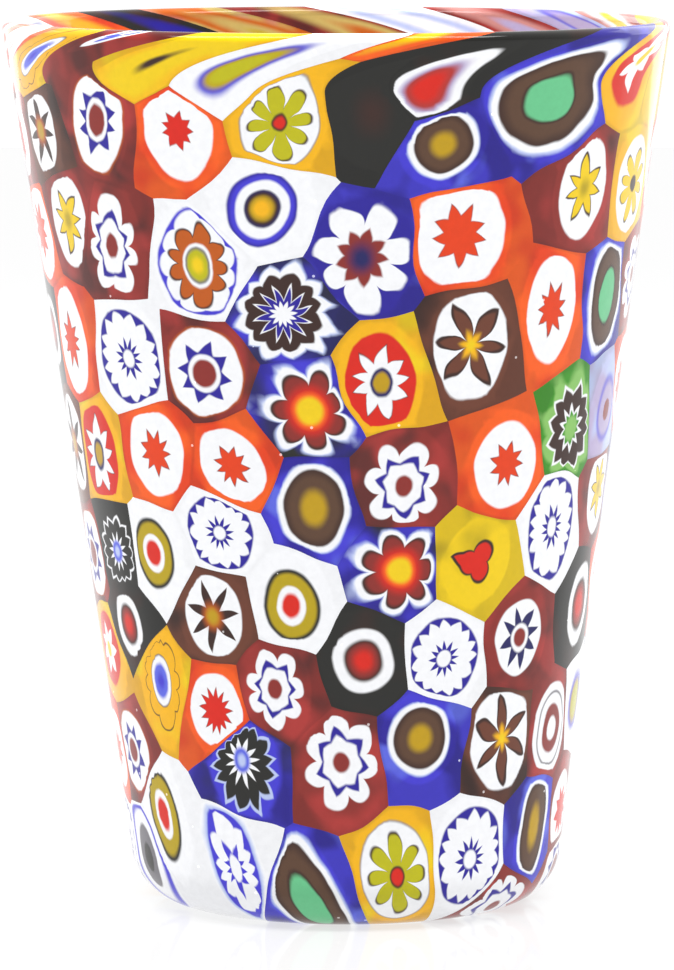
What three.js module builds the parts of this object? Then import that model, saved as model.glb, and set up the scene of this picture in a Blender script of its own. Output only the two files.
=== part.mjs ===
import * as THREE from "three";

// A tall hand-blown drinking glass made of murrine: slices of patterned cane laid side by side on a
// plate, fused, rolled up into a tube, closed at the foot and blown out. Millimetres, +Z up, the
// rim's centre over the origin, the table at Z = 0, and the front facing -Y.

const glassHeight = 106;
const rimRadius = 40;
const heelLineRadius = 25.1; // where the line of the wall would meet the table
const wallBow = 0.13; // how much of the flare is gained late, near the rim
const heelRounding = 7; // outside radius between the wall and the foot
const innerHeelRounding = 6.5;
const lipThickness = 2;
const heelThickness = 2.7; // of the wall where it meets the heel
const floorThickness = 6.5;
const footShift = 1.25; // the foot stands this much to the right of the rim
const pontilRadius = 6.5; // the polished hollow in the middle of the foot
const pontilDepth = 0.8;

// Places on the flat plate, before it is rolled: an angle round the glass, and a drop below the lip.
const plateWidth = 201;
const lipDrop = 1.5;
const wallDrop = 100;
const heelDrop = 111;
const axisDrop = 130;
const lipTurn = (72 * Math.PI) / 180; // how far the rounding of the lip goes towards its top
const angleStep = 10; // degrees between the points of every round edge
const bendLines = [0.75, lipDrop, wallDrop, 102.75, 105.5, 108.25, heelDrop];

// The murrine of the front, course by course from the lip, in the arcs each course is fused from.
// Each one: angle in degrees, drop below the lip, and a spread above or below what its place gives it.
const frontCourses = [
  [
    [[-86, 5], [-70, 4], [-60, 0.5], [-38, 4]],
    [[-21, 5], [-8, 0.5, -45], [15, 6.3]],
    [[39.5, 8.3, 25], [61, 4.5], [78, 6]],
  ],
  [
    [[-80, 14], [-65, 13], [-47, 11], [-29, 12]],
    [[-9.5, 10.5], [6, 9.5], [18.5, 13]],
    [[50, 19], [70, 19.5], [86, 18]],
  ],
  [
    [[-77, 25], [-60, 23], [-47, 25.5], [-27, 27]],
    [[-14, 20.5], [4.5, 26], [23, 24]],
    [[45.5, 33], [63, 32], [79, 30]],
  ],
  [
    [[-82, 37], [-67, 37.5], [-46, 39], [-28, 40]],
    [[-10, 32.5], [8.5, 40.5], [27, 36.5]],
    [[54.5, 48, -10], [72, 46], [83, 43]],
  ],
  [
    [[-78, 50.5], [-61, 51], [-41, 50], [-23, 50.5]],
    [[-6.5, 44], [13, 53], [36, 51]],
    [[52, 59], [74, 56], [89, 54.5]],
  ],
  [
    [[-76, 63.5], [-60, 62], [-45.5, 62], [-27, 58.5]],
    [[-6, 55.5], [12, 63], [31, 62.5]],
    [[45, 72], [70, 69.5], [86, 66.5]],
  ],
  [
    [[-73, 75], [-58, 71], [-48.5, 77.5], [-30, 68.5]],
    [[-11.5, 67], [5, 73.5], [24, 73.5]],
    [[42, 84], [61, 84], [78, 81]],
  ],
  [
    [[-80, 87], [-66, 86.5], [-54, 94], [-32.5, 80]],
    [[-15.5, 77.5], [-1, 85.5], [19, 83]],
    [[34, 98], [57, 95], [76, 94]],
  ],
  [
    [[-84, 99], [-65, 99.5], [-30.5, 99], [-25.5, 86]],
    [[-9.5, 104, 15], [13, 99.5]],
    [[48, 106], [78, 102]],
  ],
];

// The casing glass of each arc, front arcs first, then the back ones.
const casings = [
  ["yellow", "orange", "blue", "white", "darkRed", "yellow"],
  ["darkRed", "yellow", "red", "blue", "orange", "white"],
  ["darkRed", "white", "orange", "brown", "white", "darkRed"],
  ["white", "blue", "brown", "orange", "yellow", "black"],
  ["orange", "darkRed", "white", "darkRed", "blue", "white"],
  ["black", "yellow", "darkRed", "white", "orange", "brown"],
  ["brown", "black", "red", "blue", "white", "yellow"],
  ["white", "blue", "brown", "darkRed", "black", "orange"],
  ["blue", "white", "red", "yellow", "brown", "darkRed"],
];
const footCasings = ["white", "blue", "darkRed", "yellow"];

const backArcSizes = [3, 4, 3];
const backStart = 98;
const backStep = 18.2;
const courseDrop = 12;
const footCells = 12;
const footArcs = 4;
const footCellDrop = 121;

const glassColours = {
  orange: 0xf45f2c,
  white: 0xf6f6f4,
  darkRed: 0x8d3733,
  red: 0xdc3a2c,
  yellow: 0xf6b61c,
  blue: 0x4a45c4,
  brown: 0x6e4639,
  black: 0x3a3a37,
};

const mix = (a, b, share) => a + (b - a) * share;

// A number from 0 to 1 that is always the same for the same seed.
function steadyChance(seed) {
  const value = Math.sin(seed * 12.9898) * 43758.5453;
  return value - Math.floor(value);
}

function outerRadius(height) {
  const t = height / glassHeight;
  return mix(heelLineRadius, rimRadius, (1 - wallBow) * t + wallBow * t * t);
}

function wallThickness(height) {
  return mix(heelThickness, lipThickness, height / glassHeight);
}

function innerRadius(height) {
  return outerRadius(height) - wallThickness(height);
}

const wallTilt = Math.atan(((rimRadius - heelLineRadius) * (1 - wallBow)) / glassHeight);

// The outline of the outside or the inside: where the wall ends and how the heel turns under it.
function outlineOf(radiusAt, rounding, bottom) {
  const top = bottom + rounding * (1 - Math.sin(wallTilt));
  return {
    radiusAt,
    rounding,
    bottom,
    heelTop: top,
    heelCentre: radiusAt(top) - rounding * Math.cos(wallTilt),
  };
}

const outside = outlineOf(outerRadius, heelRounding, 0);
const inside = outlineOf(innerRadius, innerHeelRounding, floorThickness);

// Radius and height at a drop below the lip, on the outside or the inside.
function outlinePoint(outline, drop) {
  const wallTop = glassHeight - lipThickness / 2;
  if (drop <= lipDrop) {
    const turn = lipTurn * (1 - drop / lipDrop);
    const middle = (outerRadius(wallTop) + innerRadius(wallTop)) / 2;
    const half = (outline.radiusAt(wallTop) - middle) * Math.cos(turn);
    const rise = ((lipThickness / 2) * Math.sin(turn)) / Math.sin(lipTurn);
    return [middle + half, wallTop + rise];
  }
  if (drop <= wallDrop) {
    const height = mix(wallTop, outline.heelTop, (drop - lipDrop) / (wallDrop - lipDrop));
    return [outline.radiusAt(height), height];
  }
  if (drop <= heelDrop) {
    const turn = mix(wallTilt, Math.PI / 2, (drop - wallDrop) / (heelDrop - wallDrop));
    const radius = outline.heelCentre + outline.rounding * Math.cos(turn);
    return [radius, outline.bottom + outline.rounding * (1 - Math.sin(turn))];
  }
  const left = (axisDrop - drop) / (axisDrop - heelDrop);
  return [outline.heelCentre * left, outline.bottom];
}

function placeOf(outline, [x, drop]) {
  const [radius, height] = outlinePoint(outline, drop);
  const angle = (x / plateWidth) * Math.PI * 2;
  const shift = footShift * (1 - height / glassHeight);
  return [shift + radius * Math.sin(angle), -radius * Math.cos(angle), height];
}

// Every murrina as a point on the plate, with the node it belongs to.
function layUp() {
  const cells = [];
  const add = (angle, drop, spread, node, casing) => {
    const turned = angle > 180 ? angle - 360 : angle;
    cells.push({ x: (turned / 360) * plateWidth, drop, spread, node, casing });
  };
  frontCourses.forEach((arcs, course) => {
    const nodeOf = (arc) => `murrine_course_${course + 1}_arc_${arc + 1}`;
    arcs.forEach((arc, index) => {
      arc.forEach(([angle, drop, spread = 0]) => {
        add(angle, drop, spread, nodeOf(index), casings[course][index]);
      });
    });
    let count = 0;
    backArcSizes.forEach((size, index) => {
      for (let k = 0; k < size; k += 1) {
        const seed = course * 31 + count * 7;
        const sway = (steadyChance(seed + 1) - 0.5) * 5 + (course % 2 ? 3 : -3);
        const drop = 4 + course * courseDrop + (steadyChance(seed + 2) - 0.5) * 4;
        const arc = arcs.length + index;
        add(backStart + count * backStep + sway, drop, 0, nodeOf(arc), casings[course][arc]);
        count += 1;
      }
    });
  });
  for (let k = 0; k < footCells; k += 1) {
    const arc = Math.floor((k * footArcs) / footCells);
    const angle = ((k + 0.5) * 360) / footCells;
    add(angle, footCellDrop, 0, `murrine_foot_arc_${arc + 1}`, footCasings[arc]);
  }
  return cells;
}

// The part of a flat shape on the near side of a line: along * point <= limit.
function cutShape(shape, along, limit) {
  const kept = [];
  shape.forEach((here, k) => {
    const next = shape[(k + 1) % shape.length];
    const a = along[0] * here[0] + along[1] * here[1] - limit;
    const b = along[0] * next[0] + along[1] * next[1] - limit;
    if (a <= 0) kept.push(here);
    if ((a < 0 && b > 0) || (a > 0 && b < 0)) {
      const share = a / (a - b);
      kept.push([mix(here[0], next[0], share), mix(here[1], next[1], share)]);
    }
  });
  return kept;
}

const pontilDrop = mix(axisDrop, heelDrop, pontilRadius / outside.heelCentre);

// The shape of one murrina on the plate: what is nearer to it than to any other.
function shapeOf(cell, cells) {
  const reach = 45;
  const bottom = pontilDrop;
  let shape = [
    [cell.x - reach, 0],
    [cell.x - reach, bottom],
    [cell.x + reach, bottom],
    [cell.x + reach, 0],
  ];
  cells.forEach((other) => {
    if (other === cell) return;
    let dx = other.x - cell.x;
    dx -= Math.round(dx / plateWidth) * plateWidth;
    const dd = other.drop - cell.drop;
    const apart = dx * dx + dd * dd;
    if (apart > 60 * 60) return;
    const limit = (apart + cell.spread - other.spread) / 2;
    shape = cutShape(shape, [dx, dd], limit + dx * cell.x + dd * cell.drop);
  });
  return shape;
}

// Adds the points where an outline crosses the lines every few degrees.
function withRoundPoints(shape) {
  const step = (angleStep / 360) * plateWidth;
  const points = [];
  shape.forEach((here, k) => {
    const next = shape[(k + 1) % shape.length];
    points.push(here);
    const low = Math.min(here[0], next[0]);
    const high = Math.max(here[0], next[0]);
    const crossings = [];
    for (let n = Math.ceil(low / step); n * step <= high; n += 1) {
      if (n * step - low > 0.05 && high - n * step > 0.05) crossings.push(n * step);
    }
    if (here[0] > next[0]) crossings.reverse();
    crossings.forEach((x) => {
      points.push([x, mix(here[1], next[1], (x - here[0]) / (next[0] - here[0]))]);
    });
  });
  return points;
}

const keyOf = (place) => place.map((value) => Math.round(value * 1000)).join("/");

// A body built up from triangles whose corners are joined where they meet.
function newBody() {
  return { places: [], known: new Map(), triangles: [], edges: new Map() };
}

function cornerOf(body, place) {
  const key = keyOf(place);
  if (!body.known.has(key)) {
    body.known.set(key, body.places.length);
    body.places.push(place);
  }
  return body.known.get(key);
}

function addTriangle(body, a, b, c) {
  if (a !== b && b !== c && c !== a) body.triangles.push([a, b, c]);
}

// One flat piece of a murrina, laid on the outside and the inside of the glass.
function addPatch(body, shape) {
  const middle = [0, 1].map((k) => shape.reduce((sum, p) => sum + p[k], 0) / shape.length);
  const outerMiddle = cornerOf(body, placeOf(outside, middle));
  const innerMiddle = cornerOf(body, placeOf(inside, middle));
  shape.forEach((here, k) => {
    const next = shape[(k + 1) % shape.length];
    const outerHere = cornerOf(body, placeOf(outside, here));
    const outerNext = cornerOf(body, placeOf(outside, next));
    if (outerHere === outerNext) return;
    const innerHere = cornerOf(body, placeOf(inside, here));
    const innerNext = cornerOf(body, placeOf(inside, next));
    addTriangle(body, outerMiddle, outerHere, outerNext);
    addTriangle(body, innerMiddle, innerNext, innerHere);
    const back = `${outerNext}/${outerHere}`;
    if (body.edges.has(back)) body.edges.delete(back);
    else body.edges.set(`${outerHere}/${outerNext}`, [outerHere, outerNext, innerNext, innerHere]);
  });
}

// Closes a body round its border, cutting each four-sided wall the same way from both sides.
function closeBorder(body) {
  body.edges.forEach(([outerHere, outerNext, innerNext, innerHere]) => {
    const forward = keyOf(body.places[outerHere]) < keyOf(body.places[outerNext]);
    if (forward) {
      addTriangle(body, outerHere, innerHere, innerNext);
      addTriangle(body, outerHere, innerNext, outerNext);
    } else {
      addTriangle(body, outerHere, innerHere, outerNext);
      addTriangle(body, outerNext, innerHere, innerNext);
    }
  });
}

function meshOf(body, name, casing) {
  const geometry = new THREE.BufferGeometry();
  geometry.setAttribute("position", new THREE.Float32BufferAttribute(body.places.flat(), 3));
  geometry.setIndex(body.triangles.flat());
  geometry.computeVertexNormals();
  const material = new THREE.MeshStandardMaterial({
    color: glassColours[casing],
    roughness: 0.12,
    metalness: 0,
  });
  material.name = `${casing}_glass`;
  const mesh = new THREE.Mesh(geometry, material);
  mesh.name = name;
  return mesh;
}

const group = new THREE.Group();
group.name = "murrine_tumbler";

const cells = layUp();
const bodies = new Map();
const pontilEdge = new Map();
cells.forEach((cell) => {
  if (!bodies.has(cell.node)) bodies.set(cell.node, { body: newBody(), casing: cell.casing });
  const { body } = bodies.get(cell.node);
  const whole = shapeOf(cell, cells);
  const bounds = [0, ...bendLines, axisDrop];
  bounds.slice(0, -1).forEach((top, k) => {
    const strip = cutShape(cutShape(whole, [0, -1], -top), [0, 1], bounds[k + 1]);
    if (strip.length < 3) return;
    const rounded = withRoundPoints(strip);
    addPatch(body, rounded);
    rounded.forEach((point) => {
      if (Math.abs(point[1] - pontilDrop) > 1e-9) return;
      const turn = point[0] / plateWidth - Math.floor(point[0] / plateWidth + 1e-9);
      pontilEdge.set(Math.round(turn * 36000), [turn * plateWidth, pontilDrop]);
    });
  });
});
bodies.forEach(({ body, casing }, name) => {
  closeBorder(body);
  group.add(meshOf(body, name, casing));
});

// The murrina in the middle of the foot closes the tube; its underside is ground to a shallow hollow.
const button = newBody();
const rings = [1, 0.72, 0.4];
const ringPoint = (outline, point, share) => {
  const edge = placeOf(outline, point);
  const middle = placeOf(outline, [0, axisDrop]);
  const lift = outline === outside ? pontilDepth * (1 - share * share) : 0;
  return [mix(middle[0], edge[0], share), edge[1] * share, edge[2] + lift];
};
const edgePoints = [...pontilEdge.keys()].sort((a, b) => a - b).map((key) => pontilEdge.get(key));
[outside, inside].forEach((outline) => {
  const facing = outline === outside ? (a, b, c) => [a, b, c] : (a, b, c) => [a, c, b];
  const middle = cornerOf(button, ringPoint(outline, edgePoints[0], 0));
  edgePoints.forEach((here, k) => {
    const next = edgePoints[(k + 1) % edgePoints.length];
    rings.forEach((share, ring) => {
      const a = cornerOf(button, ringPoint(outline, here, share));
      const b = cornerOf(button, ringPoint(outline, next, share));
      if (ring === rings.length - 1) {
        addTriangle(button, ...facing(middle, b, a));
        return;
      }
      const c = cornerOf(button, ringPoint(outline, here, rings[ring + 1]));
      const d = cornerOf(button, ringPoint(outline, next, rings[ring + 1]));
      addTriangle(button, ...facing(a, d, b));
      addTriangle(button, ...facing(a, c, d));
    });
  });
});
edgePoints.forEach((here, k) => {
  const next = edgePoints[(k + 1) % edgePoints.length];
  const corners = [
    cornerOf(button, ringPoint(outside, next, 1)),
    cornerOf(button, ringPoint(outside, here, 1)),
    cornerOf(button, ringPoint(inside, here, 1)),
    cornerOf(button, ringPoint(inside, next, 1)),
  ];
  button.edges.set(`${corners[0]}/${corners[1]}`, corners);
});
closeBorder(button);
group.add(meshOf(button, "murrina_foot_centre", "orange"));

export default group;
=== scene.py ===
import math

import bmesh
import bpy
from mathutils import Matrix, Vector, noise


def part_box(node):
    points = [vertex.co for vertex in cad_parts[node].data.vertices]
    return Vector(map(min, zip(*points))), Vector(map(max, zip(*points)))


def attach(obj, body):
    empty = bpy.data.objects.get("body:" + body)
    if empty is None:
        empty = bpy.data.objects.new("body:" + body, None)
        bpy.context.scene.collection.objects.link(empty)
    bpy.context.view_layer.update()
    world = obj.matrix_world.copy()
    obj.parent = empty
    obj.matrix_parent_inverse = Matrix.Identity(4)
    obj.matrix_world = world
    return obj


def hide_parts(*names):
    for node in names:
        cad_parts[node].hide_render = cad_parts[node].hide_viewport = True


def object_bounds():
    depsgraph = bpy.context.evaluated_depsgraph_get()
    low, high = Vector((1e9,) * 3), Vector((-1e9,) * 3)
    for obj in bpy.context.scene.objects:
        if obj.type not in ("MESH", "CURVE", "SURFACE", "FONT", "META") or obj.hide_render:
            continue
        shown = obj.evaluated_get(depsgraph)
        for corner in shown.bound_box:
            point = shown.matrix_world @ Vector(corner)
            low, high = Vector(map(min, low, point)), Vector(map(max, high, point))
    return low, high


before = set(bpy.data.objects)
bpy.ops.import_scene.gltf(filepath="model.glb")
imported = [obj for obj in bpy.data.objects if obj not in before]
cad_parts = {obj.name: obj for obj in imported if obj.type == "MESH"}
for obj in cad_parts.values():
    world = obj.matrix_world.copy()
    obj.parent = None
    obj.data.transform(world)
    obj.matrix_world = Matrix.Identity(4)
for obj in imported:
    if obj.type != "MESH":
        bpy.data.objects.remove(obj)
cadLow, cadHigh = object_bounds()
mm = 0.001
print("frame loaded")

# the blown shape, in millimetres; what the frame shows is read from it
shape = {
    "heelLineRadius": 25.1,
    "wallBow": 0.13,
    "heelRounding": 7.0,
    "innerHeelRounding": 6.5,
    "lipThickness": 2.0,
    "heelThickness": 2.7,
    "footShift": 1.25,
    "pontilDepth": 0.8,
    "lipTwist": 25.0,  # degrees that the mouth was turned while the lip was hot
    "twistReach": 6.8,
    "surfaceWave": 0.05,
    "waveLength": 14.0,
}

# the flat plate that the murrine were fused on, in millimetres below the lip
plate = {
    "width": 201.0,
    "lipDrop": 1.5,
    "wallDrop": 100.0,
    "heelDrop": 111.0,
    "axisDrop": 130.0,
    "meshStep": 0.8375,
    "seamSway": 0.9,  # how far fusing pushed the straight seams about
    "swayLength": 6.5,
    "lipOverrun": 3.0,  # how far past the lip the patterns of the first course would run
}

glassHeight = (cadHigh[2] - cadLow[2]) / mm
widestRadius = (cadHigh[0] - cadLow[0]) / mm / 2
buttonLow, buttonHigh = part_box("murrina_foot_centre")
pontilRadius = (buttonHigh[0] - buttonLow[0]) / mm / 2
floorThickness = (buttonHigh[2] - buttonLow[2]) / mm
wallTop = glassHeight - shape["lipThickness"] / 2


def mix(a, b, share):
    return a + (b - a) * share


def ease(low, high, value):
    share = min(1.0, max(0.0, (value - low) / (high - low)))
    return share * share * (3 - 2 * share)


def steadyChance(seed):
    value = math.sin(seed * 12.9898) * 43758.5453
    return value - math.floor(value)


def flareShare(height):
    t = height / glassHeight
    return (1 - shape["wallBow"]) * t + shape["wallBow"] * t * t


rimRadius = shape["heelLineRadius"] + (widestRadius - shape["heelLineRadius"]) / flareShare(wallTop)


def outerRadius(height):
    return mix(shape["heelLineRadius"], rimRadius, flareShare(height))


def innerRadius(height):
    wall = mix(shape["heelThickness"], shape["lipThickness"], height / glassHeight)
    return outerRadius(height) - wall


wallTilt = math.atan((rimRadius - shape["heelLineRadius"]) * (1 - shape["wallBow"]) / glassHeight)


def outlineOf(radiusAt, rounding, bottom):
    top = bottom + rounding * (1 - math.sin(wallTilt))
    centre = radiusAt(top) - rounding * math.cos(wallTilt)
    return {"radiusAt": radiusAt, "rounding": rounding, "bottom": bottom, "heelTop": top, "centre": centre}


outside = outlineOf(outerRadius, shape["heelRounding"], 0.0)
inside = outlineOf(innerRadius, shape["innerHeelRounding"], floorThickness)
pontilDrop = mix(plate["axisDrop"], plate["heelDrop"], pontilRadius / outside["centre"])


def outlinePoint(outline, drop):
    if drop <= plate["lipDrop"]:
        turn = math.pi / 2 * (1 - drop / plate["lipDrop"])
        middle = (outerRadius(wallTop) + innerRadius(wallTop)) / 2
        half = outline["radiusAt"](wallTop) - middle
        return middle + half * math.cos(turn), wallTop + shape["lipThickness"] / 2 * math.sin(turn)
    if drop <= plate["wallDrop"]:
        share = (drop - plate["lipDrop"]) / (plate["wallDrop"] - plate["lipDrop"])
        height = mix(wallTop, outline["heelTop"], share)
        return outline["radiusAt"](height), height
    if drop <= plate["heelDrop"]:
        share = (drop - plate["wallDrop"]) / (plate["heelDrop"] - plate["wallDrop"])
        turn = mix(wallTilt, math.pi / 2, share)
        radius = outline["centre"] + outline["rounding"] * math.cos(turn)
        return radius, outline["bottom"] + outline["rounding"] * (1 - math.sin(turn))
    left = (plate["axisDrop"] - drop) / (plate["axisDrop"] - plate["heelDrop"])
    return outline["centre"] * left, outline["bottom"]


def plateNoise(x, drop, length, offset):
    # the plate is rolled up, so the noise is read round a drum and meets itself
    drum = plate["width"] / (2 * math.pi)
    angle = x / drum
    return Vector((drum * math.cos(angle), drum * math.sin(angle), drop + offset)) / length


def swayed(x, drop):
    # fusing pushes the straight seams about, except where the ends are trimmed
    fade = ease(0, 6, drop) * (1 - ease(97, 107, drop))
    sway = noise.noise_vector(plateNoise(x, drop, plate["swayLength"], 0.0))
    return x + sway.x * plate["seamSway"] * fade, drop + sway.y * plate["seamSway"] * fade


def glassPoint(x, drop, depth):
    # where a point of the plate ends up on the blown glass: depth 0 is the outside, 1 the inside
    x, drop = swayed(x, drop)
    outerR, outerZ = outlinePoint(outside, drop)
    innerR, innerZ = outlinePoint(inside, drop)
    radius = mix(outerR, innerR, depth)
    height = mix(outerZ, innerZ, depth)
    wave = noise.noise(plateNoise(x, drop, shape["waveLength"], 300.0 + 200.0 * depth))
    radius += wave * shape["surfaceWave"] * ease(0, 4, drop) * (1 - ease(95, 102, drop))
    twistShare = max(0.0, 1 - (glassHeight - height) / shape["twistReach"])
    angle = x / plate["width"] * 2 * math.pi + math.radians(shape["lipTwist"]) * twistShare**2
    shift = shape["footShift"] * (1 - height / glassHeight)
    return Vector((shift + radius * math.sin(angle), -radius * math.cos(angle), height)) * mm


def glassNormal(x, drop, depth):
    step = 0.03
    upper = max(0.0, drop - step)
    along = glassPoint(x + step, drop, depth) - glassPoint(x - step, drop, depth)
    down = glassPoint(x, drop + step, depth) - glassPoint(x, upper, depth)
    facing = down.cross(along) if depth < 0.5 else along.cross(down)
    return facing.normalized()


# the canes: glasses from the casing inwards, each reaching so far out as a share of the murrina
glassColours = {
    "orange": "F45E12",
    "deepOrange": "E23E0A",
    "amber": "F2B405",
    "yellow": "EFCB06",
    "lime": "BDB805",
    "olive": "B79E06",
    "ochre": "BE9806",
    "rust": "BE580A",
    "red": "D81F0C",
    "darkRed": "8A2A24",
    "garnet": "AC3430",
    "wine": "5E2320",
    "brown": "6B3A28",
    "umber": "38201A",
    "bark": "5A3E2C",
    "black": "21211E",
    "grey": "6E6B72",
    "navy": "1B1A5C",
    "deepBlue": "261A96",
    "blue": "4038CE",
    "skyBlue": "5B66DE",
    "paleBlue": "B9C6EE",
    "mint": "67C28A",
    "green": "389015",
    "leaf": "86BF62",
    "pink": "C98A84",
    "lilac": "B4A6CC",
    "tan": "BFA75E",
    "white": "F4F5F8",
}


def layer(glass, reach, notch=0.0, points=0, form="round", blur=0.025, sharp=1.0, turn=0.0):
    return {
        "glass": glass,
        "reach": reach,
        "notch": notch,
        "points": points,
        "form": form,
        "blur": blur,
        "sharp": sharp,
        "turn": turn,
    }


def star(glass, reach, notch, points, sharp=1.3, blur=0.025, turn=0.0):
    return layer(glass, reach, notch, points, "star", blur, sharp, turn)


def petals(glass, reach, notch, points, sharp=2.2, blur=0.025, turn=0.0):
    return layer(glass, reach, notch, points, "petals", blur, sharp, turn)


# the slow changes of tone in each casing: glass, level of the patches and how softly they end
casingPatches = {
    "orange": [("deepOrange", 0.54, 0.12)],
    "amber": [("yellow", 0.60, 0.08)],
    "yellow": [("olive", 0.62, 0.10)],
    "darkRed": [("wine", 0.57, 0.10), ("garnet", 0.56, 0.10)],
    "brown": [("umber", 0.60, 0.12)],
    "black": [("umber", 0.62, 0.12)],
    "blue": [("deepBlue", 0.52, 0.08), ("skyBlue", 0.62, 0.06)],
    "deepBlue": [("black", 0.60, 0.12), ("blue", 0.54, 0.10)],
    "navy": [("black", 0.58, 0.12), ("blue", 0.56, 0.10)],
    "lilac": [("paleBlue", 0.52, 0.10)],
    "tan": [("rust", 0.56, 0.10), ("pink", 0.58, 0.10)],
}


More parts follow.
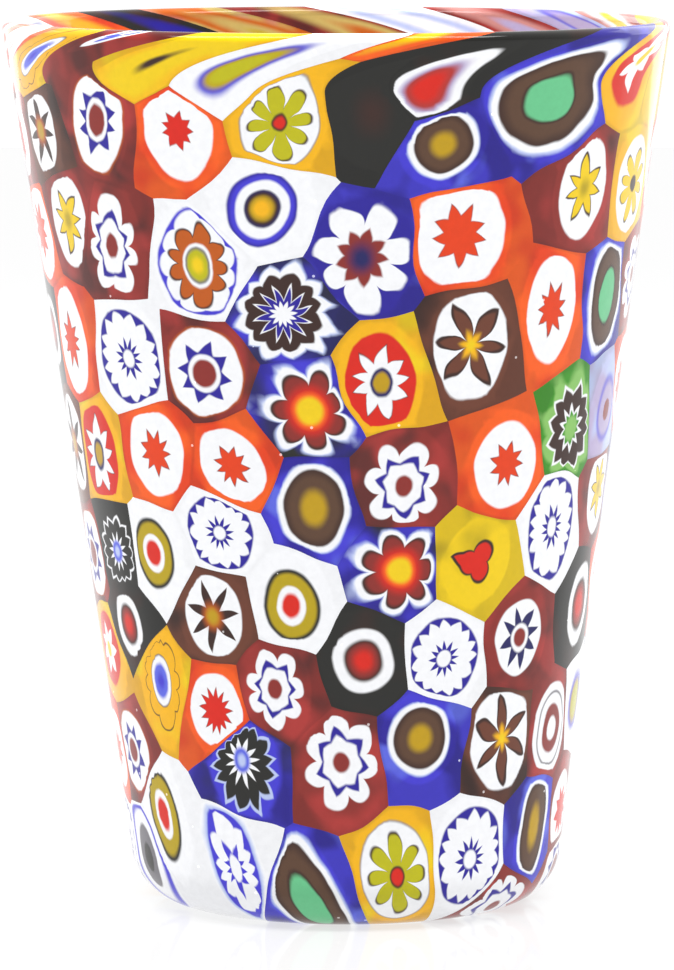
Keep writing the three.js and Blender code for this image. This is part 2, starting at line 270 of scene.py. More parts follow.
canes = {
    "orangeOval": (
        "orange",
        [layer("white", 0.77), star("darkRed", 0.43, 0.19, 9, 1.5), star("deepOrange", 0.38, 0.15, 9, 1.5)],
    ),
    "orangeSpark": (
        "orange",
        [layer("white", 0.80), star("darkRed", 0.35, 0.13, 9, 1.5), star("red", 0.32, 0.10, 9, 1.5)],
    ),
    "orangeNine": (
        "orange",
        [layer("white", 0.82), star("darkRed", 0.49, 0.20, 9), star("deepOrange", 0.46, 0.18, 9)],
    ),
    "orangeMany": (
        "orange",
        [layer("white", 0.78), star("darkRed", 0.50, 0.20, 13, 1.5), star("red", 0.45, 0.16, 13, 1.5)],
    ),
    "redYellow": (
        "darkRed",
        [
            layer("white", 0.78),
            star("umber", 0.59, 0.31, 7, 1.2),
            star("yellow", 0.53, 0.29, 7, 1.2),
            layer("olive", 0.14, blur=0.10),
        ],
    ),
    "brownStar": (
        "brown",
        [
            layer("white", 0.75),
            star("umber", 0.68, 0.46, 7, 1.4),
            layer("rust", 0.24, blur=0.12),
            layer("ochre", 0.15, blur=0.08),
        ],
    ),
    "brownSix": (
        "brown",
        [
            layer("white", 0.84),
            petals("umber", 0.80, 0.66, 6, 1.25, 0.03),
            petals("brown", 0.70, 0.60, 6, 1.1, 0.05),
            star("amber", 0.24, 0.12, 6, 1.0, 0.08),
            layer("yellow", 0.10, blur=0.06),
        ],
    ),
    "rubyEight": (
        "darkRed",
        [
            layer("rust", 0.82, blur=0.05),
            layer("white", 0.79),
            star("deepBlue", 0.58, 0.21, 8, 1.6),
            layer("white", 0.33),
            layer("darkRed", 0.24, blur=0.03),
        ],
    ),
    "rubyPetal": (
        "darkRed",
        [
            petals("white", 0.76, 0.25, 7, 2.4),
            star("deepBlue", 0.55, 0.16, 7, 1.3),
            star("white", 0.41, 0.06, 7),
            layer("darkRed", 0.17, blur=0.03),
        ],
    ),
    "rubyNavy": (
        "darkRed",
        [
            layer("white", 0.72),
            star("navy", 0.62, 0.32, 8, 1.5),
            layer("white", 0.27, blur=0.03),
            layer("darkRed", 0.18, blur=0.03),
        ],
    ),
    "limeFlower": (
        "amber",
        [
            layer("grey", 0.81),
            layer("white", 0.79),
            petals("umber", 0.67, 0.44, 8, 2.6, 0.03),
            petals("lime", 0.62, 0.42, 8, 2.8, 0.03),
            layer("umber", 0.16),
            layer("red", 0.12, blur=0.03),
        ],
    ),
    "yellowFlower": (
        "amber",
        [
            layer("white", 0.76),
            petals("umber", 0.61, 0.38, 8, 2.2),
            petals("yellow", 0.57, 0.37, 8, 2.4),
            layer("umber", 0.14),
        ],
    ),
    "blueTear": (
        "white",
        [
            layer("deepBlue", 0.66, blur=0.03),
            layer("blue", 0.61, blur=0.05),
            layer("white", 0.51, blur=0.03),
            layer("navy", 0.34, blur=0.03),
            layer("umber", 0.30, blur=0.05),
            layer("ochre", 0.23, blur=0.05),
            layer("amber", 0.15, blur=0.06),
        ],
    ),
    "blueEye": (
        "white",
        [layer("blue", 0.52, blur=0.10), layer("olive", 0.40, blur=0.08), layer("lime", 0.30, blur=0.08)],
    ),
    "brownFlower": (
        "white",
        [
            layer("blue", 0.85),
            petals("white", 0.81, 0.10, 9, 2.6),
            petals("umber", 0.67, 0.20, 9, 2.0, turn=0.5),
            petals("rust", 0.63, 0.20, 9, 2.0, turn=0.5),
            layer("white", 0.34),
            layer("grey", 0.28),
            layer("lime", 0.24, blur=0.04),
            layer("yellow", 0.13, blur=0.06),
        ],
    ),
    "blueSeven": (
        "blue",
        [
            layer("deepBlue", 0.99, blur=0.06),
            petals("white", 0.91, 0.38, 7, 3.0, 0.035),
            star("darkRed", 0.48, 0.17, 9, 1.0, 0.04),
            layer("navy", 0.20, blur=0.14),
        ],
    ),
    "navyTwelve": (
        "navy",
        [
            star("paleBlue", 0.97, 0.20, 12, 0.9, 0.04),
            star("white", 0.93, 0.20, 12, 0.9),
            petals("umber", 0.74, 0.12, 12, 1.3),
            star("white", 0.56, 0.30, 12, 1.2),
            star("deepBlue", 0.49, 0.26, 12, 1.2),
            star("white", 0.24, 0.12, 12, 1.0),
        ],
    ),
    "navyRosette": (
        "black",
        [
            star("white", 0.82, 0.16, 14, 0.9),
            star("black", 0.75, 0.16, 14, 0.9),
            star("white", 0.44, 0.24, 12, 1.3),
            layer("skyBlue", 0.23, blur=0.05),
            layer("paleBlue", 0.12, blur=0.05),
        ],
    ),
    "blueRosette": (
        "deepBlue",
        [
            layer("blue", 0.95, blur=0.08),
            star("paleBlue", 0.90, 0.24, 14, 0.9),
            star("black", 0.80, 0.22, 14, 0.9),
            star("white", 0.44, 0.26, 12, 1.2),
            layer("skyBlue", 0.20, blur=0.05),
            layer("paleBlue", 0.10, blur=0.05),
        ],
    ),
    "petalTarget": (
        "deepBlue",
        [
            petals("paleBlue", 0.96, 0.34, 7, 2.4, 0.06),
            petals("white", 0.91, 0.34, 7, 2.4, 0.03),
            petals("umber", 0.77, 0.32, 7, 2.2, 0.03),
            petals("darkRed", 0.69, 0.27, 7, 2.2, 0.06),
            layer("red", 0.42, blur=0.14),
            layer("orange", 0.32, blur=0.06),
            layer("yellow", 0.24, blur=0.06),
        ],
    ),
    "yellowNine": (
        "amber",
        [
            layer("red", 0.80),
            star("wine", 0.66, 0.30, 9, 1.1),
            star("white", 0.63, 0.28, 9, 1.1),
            layer("navy", 0.24, blur=0.03),
            layer("ochre", 0.17, blur=0.04),
        ],
    ),
    "yellowStar": (
        "amber",
        [layer("red", 0.66, blur=0.04), star("white", 0.48, 0.24, 7, 1.0), layer("yellow", 0.12)],
    ),
    "yellowHeart": (
        "yellow",
        [
            petals("umber", 0.54, 0.22, 3, 1.6, turn=0.5),
            star("umber", 0.78, 0.60, 1, 5.0, turn=0.5),
            petals("red", 0.47, 0.20, 3, 1.6, turn=0.5),
            star("red", 0.68, 0.54, 1, 6.0, turn=0.5),
        ],
    ),
    "yellowPlain": ("amber", [layer("yellow", 0.8, blur=0.3), layer("umber", 0.16, blur=0.1)]),
    "orangeStreak": ("orange", [layer("amber", 0.5, blur=0.3)]),
    "ochreEye": (
        "blue",
        [
            layer("paleBlue", 0.80, blur=0.03),
            layer("white", 0.77),
            layer("umber", 0.66, blur=0.03),
            layer("bark", 0.58, blur=0.10),
            layer("ochre", 0.28, blur=0.11),
        ],
    ),
    "mintEye": (
        "blue",
        [
            layer("paleBlue", 0.86, blur=0.04),
            layer("white", 0.81),
            layer("umber", 0.70),
            layer("bark", 0.62, blur=0.10),
            layer("umber", 0.40),
            layer("mint", 0.36, blur=0.03),
        ],
    ),
    "blackEye": (
        "black",
        [
            layer("white", 0.63, blur=0.035),
            layer("umber", 0.41, blur=0.05),
            layer("darkRed", 0.34, blur=0.06),
            layer("red", 0.21, blur=0.10),
        ],
    ),
    "blackTear": (
        "black",
        [
            layer("white", 0.80, blur=0.04),
            layer("lilac", 0.56, blur=0.10),
            layer("garnet", 0.45, blur=0.08),
            layer("red", 0.30, blur=0.12),
        ],
    ),
    "blackPlain": ("black", [layer("umber", 0.3, blur=0.3)]),
    "amberPetal": (
        "amber",
        [
            petals("umber", 0.73, 0.13, 8, 2.4, 0.015),
            petals("amber", 0.705, 0.135, 8, 2.4, 0.015),
            layer("umber", 0.40, blur=0.015),
            layer("white", 0.38),
            layer("skyBlue", 0.26, blur=0.05),
            layer("blue", 0.10, blur=0.08),
        ],
    ),
    "oliveRing": (
        "white",
        [
            layer("black", 0.64, blur=0.035),
            layer("olive", 0.56, blur=0.045),
            layer("white", 0.34),
            layer("red", 0.22, blur=0.04),
        ],
    ),
    "blueZigzag": (
        "white",
        [
            layer("deepBlue", 0.80),
            petals("white", 0.765, 0.15, 15, 1.2),
            star("deepBlue", 0.35, 0.17, 12, 1.4),
            layer("white", 0.15),
        ],
    ),
    "blueFlower": (
        "white",
        [
            layer("paleBlue", 0.88, blur=0.08),
            layer("blue", 0.78, blur=0.04),
            petals("white", 0.70, 0.18, 11, 1.3, 0.03),
            star("blue", 0.38, 0.20, 9, 1.4, 0.03),
            layer("white", 0.16),
        ],
    ),
    "blueStreak": (
        "white",
        [layer("blue", 0.85, blur=0.05), layer("white", 0.65, blur=0.08), layer("grey", 0.4), layer("black", 0.2)],
    ),
    "redTarget": (
        "darkRed",
        [
            layer("white", 0.80),
            layer("grey", 0.64),
            layer("white", 0.60),
            layer("darkRed", 0.42, blur=0.03),
            layer("white", 0.22, blur=0.03),
        ],
    ),
    "redStar": ("darkRed", [layer("white", 0.76), star("red", 0.50, 0.20, 9)]),
    "pinkStreak": ("pink", [layer("white", 0.6, blur=0.2), layer("yellow", 0.3, blur=0.1)]),
    "nightStreak": ("black", [layer("deepBlue", 0.5, blur=0.2)]),
    "tanStreak": ("tan", [layer("rust", 0.8, blur=0.2), layer("tan", 0.5, blur=0.2), layer("olive", 0.25, blur=0.1)]),
    "wineStreak": ("darkRed", [layer("tan", 0.75, blur=0.2), layer("rust", 0.45, blur=0.15)]),
    "duskStreak": ("darkRed", [layer("pink", 0.7, blur=0.2), layer("lilac", 0.4, blur=0.1)]),
    "skyStreak": ("white", [layer("paleBlue", 0.8, blur=0.2), layer("white", 0.4, blur=0.2)]),
    "lilacStreak": ("lilac", [layer("blue", 0.6, blur=0.1), layer("lilac", 0.5, blur=0.1), layer("darkRed", 0.2)]),
    "skyFlower": ("darkRed", [layer("white", 0.70), petals("skyBlue", 0.50, 0.2, 6), layer("white", 0.2)]),
    "greenRosette": (
        "green",
        [
            petals("leaf", 0.98, 0.16, 9, 1.6, 0.06),
            star("white", 0.84, 0.20, 12, 1.0),
            star("umber", 0.76, 0.18, 12, 1.0),
            star("white", 0.44, 0.20, 10, 1.2),
            star("green", 0.30, 0.10, 10, 1.2),
            layer("leaf", 0.20, blur=0.04),
        ],
    ),
}

# the front of the plate, arc by arc: angle, drop below the lip and cane of each murrina; tall is how
# much higher than wide the blown pattern is, lean how far its top tips to the right in degrees, size
# how big it is in its murrina, spin how far it is turned and spread how much the murrina was squeezed out
frontCourses = [
    [
        [
            (-86, 5, "orangeOval"),
            (-70, 4, "amberPetal"),
            (-60, 0.5, "skyFlower", {"size": 0.45}),
            (-38, 4, "yellowPlain"),
        ],
        [
            (-21, 5, "blueEye", {"tall": 1.0, "lean": 40, "size": 0.9}),
            (-8, 0.5, "orangeStreak", {"spread": -45}),
            (15, 6.3, "blackTear", {"tall": 0.95, "lean": 30, "size": 0.74}),
        ],
        [
            (39.5, 8.3, "mintEye", {"tall": 0.72, "lean": -10, "size": 0.9, "spread": 25}),
            (61, 4.5, "yellowStar"),
            (78, 6, "yellowPlain"),
        ],
    ],
    [
        [
            (-80, 14, "redStar"),
            (-65, 13, "brownStar"),
            (-47, 11, "rubyEight", {"tall": 1.5, "lean": 15}),
            (-29, 12, "orangeSpark", {"lean": -5}),
        ],
        [
            (-9.5, 10.5, "limeFlower", {"tall": 1.3, "lean": 20, "size": 1.05}),
            (6, 9.5, "blackPlain"),
            (18.5, 13, "ochreEye", {"tall": 0.85, "lean": -25, "size": 0.86}),
        ],
        [
            (50, 19, "redYellow", {"tall": 1.4, "lean": 8, "size": 0.86}),
            (70, 19.5, "yellowFlower"),
            (86, 18, "orangeOval"),
        ],
    ],
    [
        [
            (-77, 25, "orangeNine"),
            (-60, 23, "redYellow", {"tall": 1.4}),
            (-47, 25.5, "rubyPetal", {"tall": 1.6}),
            (-27, 27, "brownFlower", {"tall": 1.3}),
        ],
        [
            (-14, 20.5, "blueTear", {"tall": 1.1, "lean": 45}),
            (4.5, 26, "blueSeven", {"tall": 1.15, "size": 0.95}),
            (23, 24, "orangeNine", {"tall": 1.1}),
        ],
        [
            (45.5, 33, "orangeOval", {"tall": 1.6, "size": 0.9}),
            (63, 32, "mintEye", {"tall": 1.65}),
            (79, 30, "rubyPetal"),
        ],
    ],
    [
        [
            (-82, 37, "blackEye"),
            (-67, 37.5, "orangeOval", {"tall": 1.6}),
            (-46, 39, "blueZigzag", {"tall": 1.15, "lean": -15}),
            (-28, 40, "rubyEight", {"tall": 1.1}),
        ],
        [
            (-10, 32.5, "navyTwelve", {"tall": 1.0}),
            (8.5, 40.5, "yellowNine", {"tall": 1.4, "lean": -5, "size": 0.92}),
            (27, 36.5, "brownSix", {"tall": 1.35, "size": 0.92}),
        ],
        [
            (54.5, 48, "greenRosette", {"spread": -10}),
            (72, 46, "lilacStreak"),
            (83, 43, "orangeNine"),
        ],
    ],
    [
        [
            (-78, 50.5, "brownStar"),
            (-61, 51, "yellowNine", {"tall": 1.5}),
            (-41, 50, "orangeOval", {"tall": 1.2, "lean": -8}),
            (-23, 50.5, "orangeOval", {"lean": -35}),
        ],
        [
            (-6.5, 44, "petalTarget", {"tall": 1.1}),
            (13, 53, "rubyPetal", {"tall": 1.2}),
            (36, 51, "orangeOval", {"tall": 1.15, "size": 0.88}),
        ],
        [
            (52, 59, "blueZigzag", {"tall": 1.55}),
            (74, 56, "redYellow", {"tall": 1.4}),
            (89, 54.5, "mintEye"),
        ],
    ],
    [
        [
            (-76, 63.5, "rubyEight"),
            (-60, 62, "navyRosette", {"tall": 1.1}),
            (-45.5, 62, "oliveRing", {"tall": 1.35, "lean": -10}),
            (-27, 58.5, "blueZigzag", {"tall": 1.1, "lean": -15}),
        ],
        [
            (-6, 55.5, "ochreEye", {"tall": 1.3}),
            (12, 63, "petalTarget", {"tall": 1.0}),
            (31, 62.5, "yellowHeart", {"tall": 1.2, "lean": 25, "spin": 188, "size": 0.82}),
        ],
        [
            (45, 72, "rubyNavy", {"tall": 1.2, "size": 0.86}),
            (70, 69.5, "blackEye", {"tall": 1.45}),
            (86, 66.5, "orangeOval"),
        ],
    ],
    [
        [
            (-73, 75, "yellowStar"),
            (-58, 71, "blackEye", {"tall": 1.45, "lean": -8}),
            (-48.5, 77.5, "amberPetal", {"tall": 1.9}),
            (-30, 68.5, "brownStar", {"tall": 1.3}),
        ],
        [
            (-11.5, 67, "oliveRing", {"tall": 1.3, "lean": -5}),
            (5, 73.5, "blackEye", {"tall": 1.1, "lean": -20}),
            (24, 73.5, "blueZigzag", {"tall": 1.15, "lean": 5}),
        ],
        [
            (42, 84, "brownSix", {"tall": 1.3, "lean": -5}),
            (61, 84, "redTarget", {"tall": 1.4}),
            (78, 81, "blueEye"),
        ],
    ],
    [
        [
            (-80, 87, "orangeOval"),
            (-66, 86.5, "rubyEight", {"lean": -8}),
            (-54, 94, "oliveRing", {"tall": 2.1, "lean": -12}),
            (-32.5, 80, "orangeMany"),
        ],
        [
            (-15.5, 77.5, "rubyPetal", {"tall": 1.5}),
            (-1, 85.5, "rubyPetal", {"tall": 1.35}),
            (19, 83, "ochreEye", {"tall": 1.2, "size": 0.82}),
        ],
        [
            (34, 98, "blueZigzag", {"tall": 1.4, "lean": 3}),
            (57, 95, "ochreEye", {"tall": 2.3, "lean": 5}),
            (76, 94, "redStar"),
        ],
    ],
    [
        [
            (-84, 99, "blueZigzag"),
            (-65, 99.5, "blueStreak", {"tall": 2.0, "lean": -15}),
            (-30.5, 99, "blueFlower", {"tall": 3.2, "lean": -15, "size": 0.85}),
            (-25.5, 86, "blueRosette", {"tall": 1.5, "lean": -5}),
        ],
        [
            (-9.5, 104, "mintEye", {"tall": 3.0, "lean": -20, "spread": 15}),
            (13, 99.5, "limeFlower", {"tall": 1.6, "lean": -8, "size": 0.9}),
        ],
        [
            (48, 106, "rubyPetal"),
            (78, 102, "rubyEight"),
        ],
    ],
]

# the canes that the lip pulls into bands at the back, as seen through the mouth from right to left
backRim = [
    "pinkStreak",
    "lilacStreak",
    "duskStreak",
    "skyStreak",
    "wineStreak",
    "tanStreak",
    "nightStreak",
    "orangeStreak",
    "skyStreak",
    "orangeOval",
]

# the back and the foot follow the same spacing with canes taken in turn
rest = {
    "arcSizes": [3, 4, 3],
    "start": 98.0,
    "step": 18.2,
    "courseDrop": 12.0,
    "footCells": 12,
    "footArcs": 4,
    "footCellDrop": 121.0,
    "footCanes": ["blueZigzag", "ochreEye", "oliveRing", "rubyPetal"],
    "usualTall": 1.25,
    "canes": [
        "orangeNine",
        "blueZigzag",
        "rubyPetal",
        "ochreEye",
        "oliveRing",
        "brownSix",
        "blackEye",
        "limeFlower",
        "rubyEight",
        "petalTarget",
        "orangeOval",
        "yellowNine",
        "navyTwelve",
        "brownStar",
        "brownFlower",
        "mintEye",
        "orangeMany",
        "amberPetal",
        "blueSeven",
        "rubyNavy",
        "redYellow",
    ],
}


def layUp():
    murrine = []
    names = rest["canes"]

    def add(label, angle, drop, cane, node, choices):
        turned = angle - 360 if angle > 180 else angle
        murrina = {"name": label, "x": turned / 360 * plate["width"], "drop": drop, "cane": cane, "node": node}
        murrina.update({"spin": 0, "spread": 0, "tall": rest["usualTall"], "lean": 0, "size": 1})
        murrina.update(choices)
        murrine.append(murrina)

    for course, arcs in enumerate(frontCourses):
        count = 0
        for index, arc in enumerate(arcs):
            for angle, drop, cane, *choices in arc:
                node = f"murrine_course_{course + 1}_arc_{index + 1}"
                chosen = {"spin": steadyChance(course * 17 + count * 5) * 360, **(choices[0] if choices else {})}
                count += 1
                add(f"murrina_{course + 1}_{count}", angle, drop, cane, node, chosen)
        backCount = 0
        for index, size in enumerate(rest["arcSizes"]):
            for _ in range(size):
                seed = course * 31 + backCount * 7
                sway = (steadyChance(seed + 1) - 0.5) * 5 + (3 if course % 2 else -3)
                drop = 4 + course * rest["courseDrop"] + (steadyChance(seed + 2) - 0.5) * 4
                angle = rest["start"] + backCount * rest["step"] + sway
                cane = backRim[backCount] if course == 0 else names[(course * 5 + backCount * 8) % len(names)]
                node = f"murrine_course_{course + 1}_arc_{len(arcs) + index + 1}"
                backCount += 1
                chosen = {"spin": steadyChance(seed + 3) * 360}
                add(f"murrina_{course + 1}_{count + backCount}", angle, drop, cane, node, chosen)
    for k in range(rest["footCells"]):
        arc = k * rest["footArcs"] // rest["footCells"]
        angle = (k + 0.5) * 360 / rest["footCells"]
        cane = rest["footCanes"][k % len(rest["footCanes"])]
        node = f"murrine_foot_arc_{arc + 1}"
        add(f"murrina_foot_{k + 1}", angle, rest["footCellDrop"], cane, node, {"spin": k * 50, "tall": 1})
    return murrine


def neighboursOf(murrina, murrine):
    # the cuts that bound a murrina: each one is a direction and how far the seam is that way
    cuts = []
    for other in murrine:
        if other is murrina:
            continue
        dx = other["x"] - murrina["x"]
        dx -= round(dx / plate["width"]) * plate["width"]
        away = Vector((dx, other["drop"] - murrina["drop"]))
        apart = away.length
        reach = (apart + (murrina["spread"] - other["spread"]) / apart) / 2
        if reach < 17:
            cuts.append((away / apart, reach))
    return cuts


def seamDistance(cuts, direction, murrina):
    # how far the border is from the middle; the lip cuts the patterns off instead of pressing them
    far = 14.0
    for away, reach in cuts:
        facing = away.dot(direction)
        if facing > 0.05:
            far = min(far, reach / facing)
    if direction.y > 0.05:
        far = min(far, (pontilDrop - murrina["drop"]) / direction.y)
    if direction.y < -0.05:
        far = min(far, (murrina["drop"] + plate["lipOverrun"]) / -direction.y)
    return far


def cellOval(cuts, murrina, count=72):
    # the oval of the same area as the murrina that its round inner glasses were blown into
    area = 0.0
    for k in range(count):
        angle = (k + 0.5) / count * 2 * math.pi
        far = seamDistance(cuts, Vector((math.cos(angle), math.sin(angle))), murrina)
        area += far**2 / count
    blown = min(murrina["drop"], plate["heelDrop"])
    widened = outlinePoint(outside, blown)[0] * 2 * math.pi / plate["width"]
    tall = math.sqrt(murrina["tall"])
    lean = math.radians(murrina["lean"])
    upright = Vector((math.sin(lean) / widened, -math.cos(lean)))
    sideways = Vector((math.cos(lean) / widened, math.sin(lean)))
    reach = math.sqrt(area * widened) * murrina["size"]
    return upright * reach * tall, sideways * reach / tall


def ovalReach(oval, direction):
    # the two half axes may be askew on the plate, so the direction is split along them first
    upright, sideways = oval
    size = upright.x * sideways.y - upright.y * sideways.x
    high = (direction.x * sideways.y - direction.y * sideways.x) / size
    wide = (upright.x * direction.y - upright.y * direction.x) / size
    return 1 / math.hypot(high, wide)


def canePlace(murrina, cuts, oval, x, drop):
    # place in the cane: 0.5, 0.5 at its core and 0.5 away from that at its border
    offset = Vector((x - murrina["x"], drop - murrina["drop"]))
    moved = Vector(swayed(x, drop)) - Vector(swayed(murrina["x"], murrina["drop"]))
    if min(offset.length, moved.length) < 1e-6:
        return 0.5, 0.5
    outward = min(1.0, offset.length / seamDistance(cuts, offset.normalized(), murrina))
    share = mix(moved.length / ovalReach(oval, moved.normalized()), outward, ease(0.78, 1.0, outward))
    angle = math.atan2(-moved.y, moved.x) + math.radians(murrina["spin"])
    return 0.5 + 0.5 * share * math.cos(angle), 0.5 + 0.5 * share * math.sin(angle)


def snap(value, step, up):
    return (math.ceil(value / step) if up else math.floor(value / step)) * step


def murrinaMesh(murrina, murrine):
    step = plate["meshStep"]
    cuts = neighboursOf(murrina, murrine)
    oval = cellOval(cuts, murrina)
    low = snap(murrina["x"] - 15, step, False)
    high = snap(murrina["x"] + 15, step, True)
    top = max(0.0, math.floor(murrina["drop"] - 15))
    bottom = math.ceil(murrina["drop"] + 15)
    bm = bmesh.new()
    columns = round((high - low) / step)
    rows = round(bottom - top)
    place = Matrix.Translation(((low + high) / 2, (top + bottom) / 2, 0))
    place = place @ Matrix.Diagonal(((high - low) / 2, (bottom - top) / 2, 1, 1))
    bmesh.ops.create_grid(bm, x_segments=columns, y_segments=rows, size=1, matrix=place)

    def cutAt(point, direction, clear):
        everything = bm.verts[:] + bm.edges[:] + bm.faces[:]
        bmesh.ops.bisect_plane(
            bm, geom=everything, plane_co=point, plane_no=direction, dist=1e-5, clear_outer=clear
        )

    for away, reach in cuts:
        cutAt((murrina["x"] + away.x * reach, murrina["drop"] + away.y * reach, 0), (away.x, away.y, 0), True)
    cutAt((0, pontilDrop, 0), (0, 1, 0), True)
    if murrina["drop"] < 16:
        for k in range(1, 32):
            if k % 4:
                cutAt((0, k / 4, 0), (0, 1, 0), False)
    if any(v.co.y > plate["wallDrop"] for v in bm.verts):
        for k in range(11):
            cutAt((0, plate["wallDrop"] + k + 0.5, 0), (0, 1, 0), False)
    for face in bm.faces:
        face.smooth = True
    outerFaces = bm.faces[:]
    grown = bmesh.ops.extrude_face_region(bm, geom=outerFaces, use_keep_orig=True)
    innerVerts = [part for part in grown["geom"] if isinstance(part, bmesh.types.BMVert)]
    innerFaces = {part for part in grown["geom"] if isinstance(part, bmesh.types.BMFace)}
    bmesh.ops.translate(bm, verts=innerVerts, vec=(0, 0, 1))
    known = set(outerFaces) | innerFaces
    for face in bm.faces:
        face.smooth = face in known
    weld = {}
    for vert in innerVerts:
        if vert.co.y < 1e-4:
            for edge in vert.link_edges:
                other = edge.other_vert(vert)
                if other.co.z < 0.5 and other.co.y < 1e-4 and abs(other.co.x - vert.co.x) < 1e-6:
                    weld[vert] = other
    if weld:
        bmesh.ops.weld_verts(bm, targetmap=weld)
    bmesh.ops.recalc_face_normals(bm, faces=bm.faces[:])
    uv = bm.loops.layers.uv.new("Cane")
    places = {}
    for face in bm.faces:
        for loop in face.loops:
            key = (round(loop.vert.co.x, 4), round(loop.vert.co.y, 4))
            if key not in places:
                places[key] = canePlace(murrina, cuts, oval, *key)
            loop[uv].uv = places[key]
    bm.verts.index_update()
    flat = [vert.co.copy() for vert in bm.verts]
    for vert, point in zip(bm.verts, flat):
        vert.co = glassPoint(point.x, point.y, point.z)
    if bm.calc_volume(signed=True) < 0:
        bmesh.ops.reverse_faces(bm, faces=bm.faces[:])
    mesh = bpy.data.meshes.new(murrina["name"])
    bm.to_mesh(mesh)
    bm.free()
    normals = []
    known = {}
    for face in mesh.polygons:
        depth = 1.0 if any(flat[v].z > 0.5 for v in face.vertices) else 0.0
        for v in face.vertices:
            if not face.use_smooth:
                normals.append((0, 0, 0))
                continue
            key = (v, depth)
            if key not in known:
                known[key] = glassNormal(flat[v].x, flat[v].y, depth)
            normals.append(known[key])
    mesh.normals_split_custom_set(normals)
    return mesh


def addPiece(mesh, material, node):
    piece = bpy.data.objects.new(mesh.name, mesh)
    bpy.context.scene.collection.objects.link(piece)
    mesh.materials.append(material)
    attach(piece, "root")
    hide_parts(node)
    return piece


def linear(hexColour):
    channels = [int(hexColour[k : k + 2], 16) / 255 for k in (0, 2, 4)]
    return [c / 12.92 if c <= 0.04045 else ((c + 0.055) / 1.055) ** 2.4 for c in channels] + [1.0]


def addNode(tree, kind, inputs=None, **settings):
    node = tree.nodes.new(kind)
    for key, value in settings.items():
        setattr(node, key, value)
    for key, value in (inputs or {}).items():
        if isinstance(value, bpy.types.NodeSocket):
            tree.links.new(value, node.inputs[key])
        else:
            node.inputs[key].default_value = value
    return node.outputs[0] if node.outputs else None


# fused soda-lime glass, ground flush and fire-polished: gives a smooth wet gloss over solid colour
finish = {
    "roughness": 0.07,
    "ior": 1.52,
    "gloss": 0.32,  # half of what bare glass mirrors, as the studio in front of it is kept dim
    "wobbleLength": 3.2,  # mm between the bends of a cane's drawn outlines
    "wobbleReach": 0.06,
    "wobbleTurn": 0.035,
    "streakLength": 0.9,
    "streakDepth": 0.05,
    "patchLength": 6.0,
    "seamShade": 0.22,
    "seedSpacing": 3.4,  # mm between the seed bubbles just under the surface
    "seedSize": 0.05,
    "seedChance": 0.30,
    "orangePeel": 0.35,
}


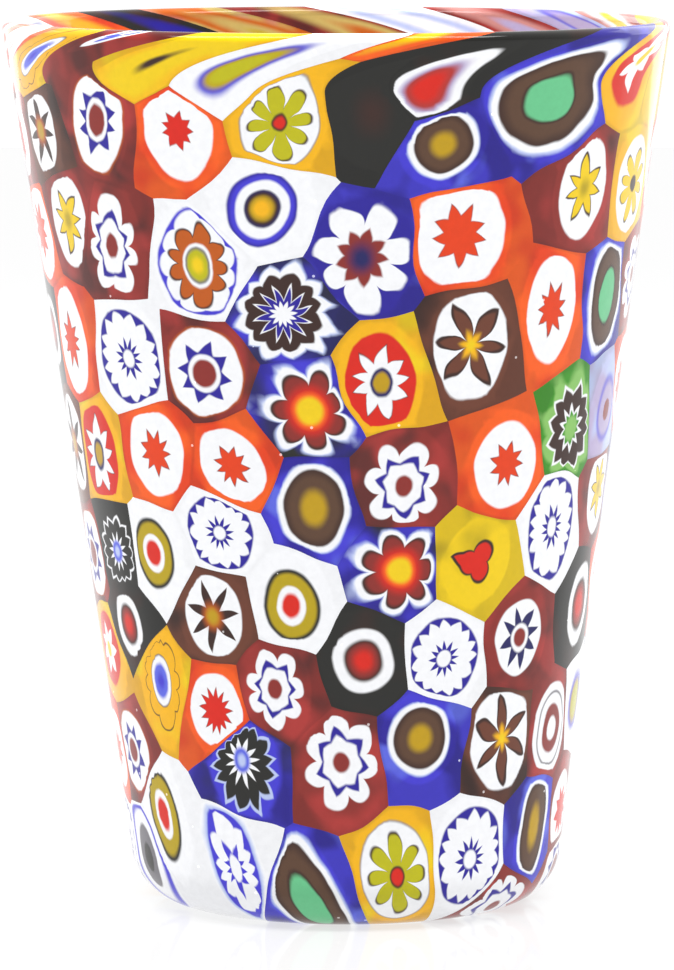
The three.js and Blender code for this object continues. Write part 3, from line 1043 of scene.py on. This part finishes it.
def caneGlass(name):
    casing, layers = canes[name]
    material = bpy.data.materials.new(f"fused_glass_{name}")
    material.use_nodes = True
    tree = material.node_tree
    tree.nodes.clear()
    uvNode = tree.nodes.new("ShaderNodeUVMap")
    uvNode.uv_map = "Cane"
    centred = addNode(
        tree, "ShaderNodeVectorMath", {0: uvNode.outputs[0], 1: (2, 2, 0), 2: (-1, -1, 0)}, operation="MULTIPLY_ADD"
    )
    objectPlace = tree.nodes.new("ShaderNodeTexCoord").outputs["Object"]
    wobble = addNode(
        tree,
        "ShaderNodeTexNoise",
        {"Vector": objectPlace, "Scale": 1 / (finish["wobbleLength"] * mm), "Detail": 0.4},
    )
    wobbleColour = wobble.node.outputs["Color"]
    channels = addNode(tree, "ShaderNodeSeparateColor", {0: wobbleColour}).node
    parts = addNode(tree, "ShaderNodeSeparateXYZ", {0: centred}).node
    plain = addNode(tree, "ShaderNodeVectorMath", {0: centred}, operation="LENGTH").node.outputs["Value"]
    lift = addNode(
        tree,
        "ShaderNodeMath",
        {0: channels.outputs[0], 1: finish["wobbleReach"] * 2, 2: -finish["wobbleReach"]},
        operation="MULTIPLY_ADD",
    )
    reach = addNode(tree, "ShaderNodeMath", {0: plain, 1: lift}, operation="ADD")
    angle = addNode(tree, "ShaderNodeMath", {0: parts.outputs[1], 1: parts.outputs[0]}, operation="ARCTAN2")
    turned = addNode(
        tree,
        "ShaderNodeMath",
        {0: channels.outputs[1], 1: finish["wobbleTurn"] * 2, 2: -finish["wobbleTurn"]},
        operation="MULTIPLY_ADD",
    )
    turnShare = addNode(tree, "ShaderNodeMath", {0: angle, 1: 1 / (2 * math.pi), 2: turned}, operation="MULTIPLY_ADD")
    drift = addNode(
        tree,
        "ShaderNodeTexNoise",
        {"Vector": objectPlace, "Scale": 1 / (finish["patchLength"] * mm), "Detail": 1.0},
    )
    drifts = addNode(tree, "ShaderNodeSeparateColor", {0: drift.node.outputs["Color"]}).node.outputs
    colour = linear(glassColours[casing])
    patches = [layer(glass, level, form="patch", blur=blur) for glass, level, blur in casingPatches.get(casing, [])]
    for index, item in enumerate(patches + layers):
        if item["form"] == "patch":
            edge = addNode(tree, "ShaderNodeMath", {0: item["reach"], 1: drifts[index]}, operation="SUBTRACT")
        elif item["form"] == "round":
            edge = addNode(tree, "ShaderNodeMath", {0: reach, 1: -item["reach"]}, operation="ADD")
        else:
            sector = addNode(
                tree,
                "ShaderNodeMath",
                {0: turnShare, 1: float(item["points"]), 2: item["turn"]},
                operation="MULTIPLY_ADD",
            )
            folded = addNode(tree, "ShaderNodeMath", {0: sector, 1: 0.5}, operation="PINGPONG")
            if item["form"] == "star":
                tip = addNode(tree, "ShaderNodeMath", {0: folded, 1: 2.0}, operation="MULTIPLY")
                profile = addNode(tree, "ShaderNodeMath", {0: tip, 1: item["sharp"]}, operation="POWER")
            else:
                valley = addNode(tree, "ShaderNodeMath", {0: folded, 1: -2.0, 2: 1.0}, operation="MULTIPLY_ADD")
                bent = addNode(tree, "ShaderNodeMath", {0: valley, 1: item["sharp"]}, operation="POWER")
                profile = addNode(tree, "ShaderNodeMath", {0: 1.0, 1: bent}, operation="SUBTRACT")
            limit = addNode(
                tree,
                "ShaderNodeMath",
                {0: profile, 1: item["notch"], 2: item["reach"] - item["notch"]},
                operation="MULTIPLY_ADD",
            )
            edge = addNode(tree, "ShaderNodeMath", {0: reach, 1: limit}, operation="SUBTRACT")
        mask = addNode(
            tree,
            "ShaderNodeMapRange",
            {0: edge, 1: -item["blur"], 2: item["blur"], 3: 1.0, 4: 0.0},
            interpolation_type="SMOOTHSTEP",
        )
        mixer = tree.nodes.new("ShaderNodeMix")
        mixer.data_type = "RGBA"
        tree.links.new(mask, mixer.inputs["Factor"])
        for socket, value in ((mixer.inputs[6], colour), (mixer.inputs[7], linear(glassColours[item["glass"]]))):
            if isinstance(value, bpy.types.NodeSocket):
                tree.links.new(value, socket)
            else:
                socket.default_value = value
        colour = mixer.outputs[2]
    streak = addNode(
        tree,
        "ShaderNodeTexNoise",
        {"Vector": objectPlace, "Scale": 1 / (finish["streakLength"] * mm), "Detail": 3.0, "Roughness": 0.6},
    )
    shade = addNode(
        tree,
        "ShaderNodeMapRange",
        {0: streak, 1: 0.25, 2: 0.75, 3: 1 - finish["streakDepth"], 4: 1 + finish["streakDepth"] * 0.5},
    )
    seamShade = finish["seamShade"] * (0.25 if casing == "white" else 1)
    seam = addNode(
        tree,
        "ShaderNodeMapRange",
        {0: plain, 1: 0.92, 2: 1.0, 3: 1.0, 4: 1 - seamShade},
        interpolation_type="SMOOTHSTEP",
    )
    both = addNode(tree, "ShaderNodeMath", {0: shade, 1: seam}, operation="MULTIPLY")
    seeds = addNode(
        tree, "ShaderNodeTexVoronoi", {"Vector": objectPlace, "Scale": 1 / (finish["seedSpacing"] * mm)}
    ).node
    near = addNode(tree, "ShaderNodeMath", {0: seeds.outputs["Distance"], 1: finish["seedSize"]}, operation="LESS_THAN")
    chance = addNode(tree, "ShaderNodeSeparateColor", {0: seeds.outputs["Color"]})
    rare = addNode(tree, "ShaderNodeMath", {0: chance, 1: finish["seedChance"]}, operation="LESS_THAN")
    seed = addNode(tree, "ShaderNodeMath", {0: near, 1: rare}, operation="MULTIPLY")
    shaded = addNode(tree, "ShaderNodeVectorMath", {0: colour, "Scale": both}, operation="SCALE")
    seeded = addNode(
        tree, "ShaderNodeVectorMath", {0: (0.5, 0.5, 0.5), 1: seed, 2: shaded}, operation="MULTIPLY_ADD"
    )
    peel = addNode(tree, "ShaderNodeTexNoise", {"Vector": objectPlace, "Scale": 1 / (4.0 * mm), "Detail": 1.0})
    bump = addNode(
        tree, "ShaderNodeBump", {"Strength": finish["orangePeel"], "Distance": 0.02 * mm, "Height": peel}
    )
    surface = addNode(
        tree,
        "ShaderNodeBsdfPrincipled",
        {
            "Base Color": seeded,
            "Roughness": finish["roughness"],
            "IOR": finish["ior"],
            "Specular IOR Level": finish["gloss"],
            "Normal": bump,
        },
    )
    addNode(tree, "ShaderNodeOutputMaterial", {"Surface": surface})
    return material


murrine = layUp()
materials = {name: caneGlass(name) for name in canes}
print("cane glasses made:", len(materials))

for murrina in murrine:
    mesh = murrinaMesh(murrina, murrine)
    addPiece(mesh, materials[murrina["cane"]], murrina["node"])
print("murrine laid up:", len(murrine))


def footCentre():
    # the last murrina closes the tube under the floor and is ground hollow where the rod was
    bm = bmesh.new()
    steps = 6
    profile = []
    for k in range(steps + 1):
        radius = pontilRadius * k / steps
        hollow = shape["pontilDepth"] * (1 - (k / steps) ** 2)
        profile.append(bm.verts.new((radius * mm, 0, hollow * mm)))
    for k in range(steps, -1, -1):
        profile.append(bm.verts.new((pontilRadius * k / steps * mm, 0, floorThickness * mm)))
    edges = [bm.edges.new(pair) for pair in zip(profile, profile[1:])]
    bmesh.ops.spin(
        bm, geom=profile + edges, axis=(0, 0, 1), cent=(0, 0, 0), angle=2 * math.pi, steps=48, use_merge=True
    )
    bmesh.ops.remove_doubles(bm, verts=bm.verts[:], dist=1e-6)
    bmesh.ops.recalc_face_normals(bm, faces=bm.faces[:])
    uv = bm.loops.layers.uv.new("Cane")
    for face in bm.faces:
        for loop in face.loops:
            point = loop.vert.co
            loop[uv].uv = (0.5 + point.x / (2 * pontilRadius * mm), 0.5 + point.y / (2 * pontilRadius * mm))
    middle = (Vector(buttonLow) + Vector(buttonHigh)) / 2
    bmesh.ops.translate(bm, verts=bm.verts[:], vec=(middle.x, middle.y, buttonLow[2]))
    mesh = bpy.data.meshes.new("murrina_foot_middle")
    bm.to_mesh(mesh)
    bm.free()
    return mesh


addPiece(footCentre(), materials["orangeNine"], "murrina_foot_centre")
print("foot closed")

# a white glossy table in a white room that is brighter behind the glass than behind the camera
studio = {
    "floorSize": 3.0,
    "floorGap": 0.00002,  # keeps the foot clear of the table's own surface
    "floorColour": "6F6F6F",
    "floorGlow": 0.79,
    "floorShine": 0.3,
    "floorRoughness": 0.08,
    "roomFront": 0.56,
    "roomBack": 1.15,
    "softboxes": {
        "key_softbox": {"place": (0, -0.25, 0.72), "size": (1.2, 0.25), "power": 9.0},
        "left_softbox": {"place": (-0.50, 0.60, 0.15), "size": (0.6, 0.8), "power": 2.5},
        "right_softbox": {"place": (0.50, 0.60, 0.15), "size": (0.6, 0.8), "power": 2.5},
    },
}


def studioFloor():
    bm = bmesh.new()
    bmesh.ops.create_grid(bm, x_segments=1, y_segments=1, size=studio["floorSize"] / 2)
    mesh = bpy.data.meshes.new("table")
    bm.to_mesh(mesh)
    bm.free()
    floor = bpy.data.objects.new("table", mesh)
    bpy.context.scene.collection.objects.link(floor)
    floor.location.z = -studio["floorGap"]
    material = bpy.data.materials.new("white_glazed_table")
    material.use_nodes = True
    surface = material.node_tree.nodes["Principled BSDF"]
    surface.inputs["Base Color"].default_value = linear(studio["floorColour"])
    surface.inputs["Specular IOR Level"].default_value = 0
    surface.inputs["Coat Weight"].default_value = studio["floorShine"]
    surface.inputs["Coat Roughness"].default_value = studio["floorRoughness"]
    surface.inputs["Emission Color"].default_value = (1, 1, 1, 1)
    surface.inputs["Emission Strength"].default_value = studio["floorGlow"]
    mesh.materials.append(material)


def softbox(name, place, size, power):
    light = bpy.data.lights.new(name, "AREA")
    light.shape = "RECTANGLE"
    light.size, light.size_y = size
    light.energy = power
    lamp = bpy.data.objects.new(name, light)
    lamp.location = place
    aim = Vector((0, 0, glassHeight * mm / 2)) - Vector(place)
    lamp.rotation_euler = aim.to_track_quat("-Z", "Y").to_euler()
    bpy.context.scene.collection.objects.link(lamp)


def whiteRoom():
    world = bpy.data.worlds.new("white_room")
    world.use_nodes = True
    tree = world.node_tree
    background = tree.nodes["Background"]
    direction = tree.nodes.new("ShaderNodeTexCoord").outputs["Generated"]
    depth = addNode(tree, "ShaderNodeSeparateXYZ", {0: direction}).node.outputs["Y"]
    strength = addNode(
        tree,
        "ShaderNodeMapRange",
        {0: depth, 1: -0.6, 2: 0.6, 3: studio["roomFront"], 4: studio["roomBack"]},
        interpolation_type="SMOOTHSTEP",
    )
    background.inputs["Color"].default_value = (1, 1, 1, 1)
    tree.links.new(strength, background.inputs["Strength"])
    bpy.context.scene.world = world


studioFloor()
whiteRoom()
for name, lamp in studio["softboxes"].items():
    softbox(name, lamp["place"], lamp["size"], lamp["power"])
bpy.context.scene.view_settings.view_transform = "Standard"
print("studio lit")

# a long lens a little above the rim
view = {
    "distance": 0.808,
    "height": 0.1396,
    "aimHeight": 0.0525,
    "lens": 251.0,
    "sensor": 36.0,
    "shiftX": 0.001,
    "shiftY": -0.0206,
}
camera = bpy.data.cameras.new("camera")
camera.sensor_fit = "VERTICAL"
camera.sensor_height = view["sensor"]
camera.lens = view["lens"]
camera.shift_x = view["shiftX"]
camera.shift_y = view["shiftY"]
camera.clip_end = 20
viewer = bpy.data.objects.new("camera", camera)
viewer.location = (0, -view["distance"], view["height"])
rise = math.atan((view["height"] - view["aimHeight"]) / view["distance"])
viewer.rotation_euler = (math.pi / 2 - rise, 0, 0)
bpy.context.scene.collection.objects.link(viewer)
bpy.context.scene.camera = viewer
print("camera placed")

bpy.context.view_layer.update()
